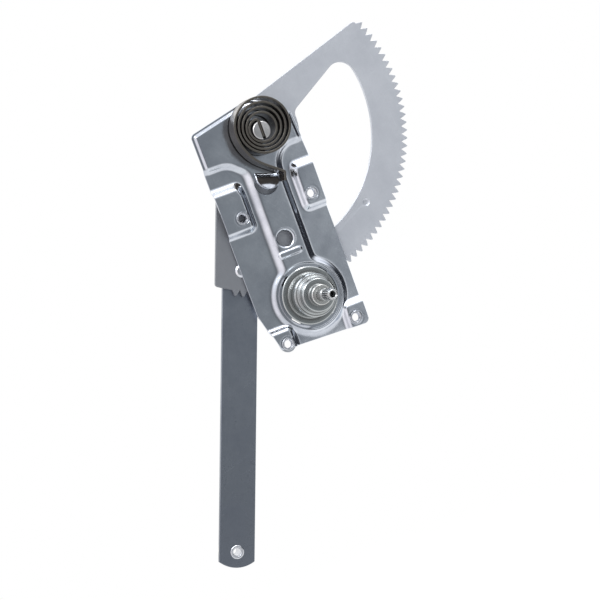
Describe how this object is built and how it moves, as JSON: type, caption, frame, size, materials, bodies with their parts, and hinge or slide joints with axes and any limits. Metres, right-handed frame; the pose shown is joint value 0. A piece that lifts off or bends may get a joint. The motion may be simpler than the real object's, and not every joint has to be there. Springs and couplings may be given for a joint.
{
  "type": "window regulator",
  "caption": "Single-arm manual window regulator: stamped plate, toothed sector with lift arm and roller, spiral counterbalance spring, and spring brake with splined crank shaft.",
  "frame": {"origin": "middle of the four fixing holes, on the front faces of their pads", "axes": "+Z along the plate towards the sector pivot, -Y out of the plate towards the crank handle, +X to the right seen from the crank side"},
  "size_m": [0.2867, 0.0918, 0.3913],
  "materials": {
    "zinc_plate": "bright zinc plated stamped steel, glossy",
    "zinc_sector": "bright zinc plated blanked steel, satin",
    "zinc_arm": "zinc plated strip steel, duller and bluish",
    "zinc_housing": "zinc plated drawn steel, slightly warm",
    "zinc_shaft": "zinc plated machined steel",
    "zinc_pin": "zinc plated, mottled end face",
    "zinc_fastener": "bright zinc plated turned steel",
    "bright_bush": "bright turned steel",
    "hardened_steel": "hardened steel with a film of grease",
    "oiled_spring_steel": "dark oil-tempered spring steel",
    "bearing_plastic": "natural bearing plastic",
    "roller_plastic": "off-white moulded plastic, satin",
    "seal_rubber": "black rubber, matt"
  },
  "bodies": {
    "base": {"base_plate": "zinc_plate", "clinch_nuts": "zinc_fastener", "brake_housing": "zinc_housing", "shaft_bush": "bright_bush", "dust_seal": "seal_rubber", "plate_bush": "bearing_plastic", "pivot_bush": "bright_bush", "pivot_washer": "zinc_fastener"},
    "crank": {"crank_shaft": "zinc_shaft", "thrust_washer": "hardened_steel", "input_driver": "hardened_steel", "brake_spring": "oiled_spring_steel", "output_driver": "hardened_steel", "guide_washer": "zinc_fastener", "pinion": "hardened_steel", "retaining_ring": "hardened_steel"},
    "lift": {"pivot_pin": "zinc_pin", "counterbalance_spring": "oiled_spring_steel", "sector_gear": "zinc_sector", "lift_arm": "zinc_arm", "arm_rivets": "zinc_fastener", "roller_pin": "zinc_fastener", "roller_clip": "hardened_steel"},
    "roller_body": {"roller": "roller_plastic"}
  },
  "joints": [
    {"name": "sector_pivot", "type": "hinge", "parent": "base", "child": "lift", "pos_m": [0.004, 0, 0.11769], "axis": [0, -1, 0], "range_deg": [-106, 12], "deforming": ["counterbalance_spring"]},
    {"name": "crank_spin", "type": "hinge", "parent": "base", "child": "crank", "pos_m": [0, 0, -0.024], "axis": [0, -1, 0], "range_deg": [-230, 1720]},
    {"name": "roller_spin", "type": "hinge", "parent": "lift", "child": "roller_body", "pos_m": [-0.13044, 0, -0.20069], "axis": [0, -1, 0], "continuous": true}
  ],
  "couplings": [
    {"joint": "crank_spin", "follows": "sector_pivot", "ratio": -15.875}
  ]
}
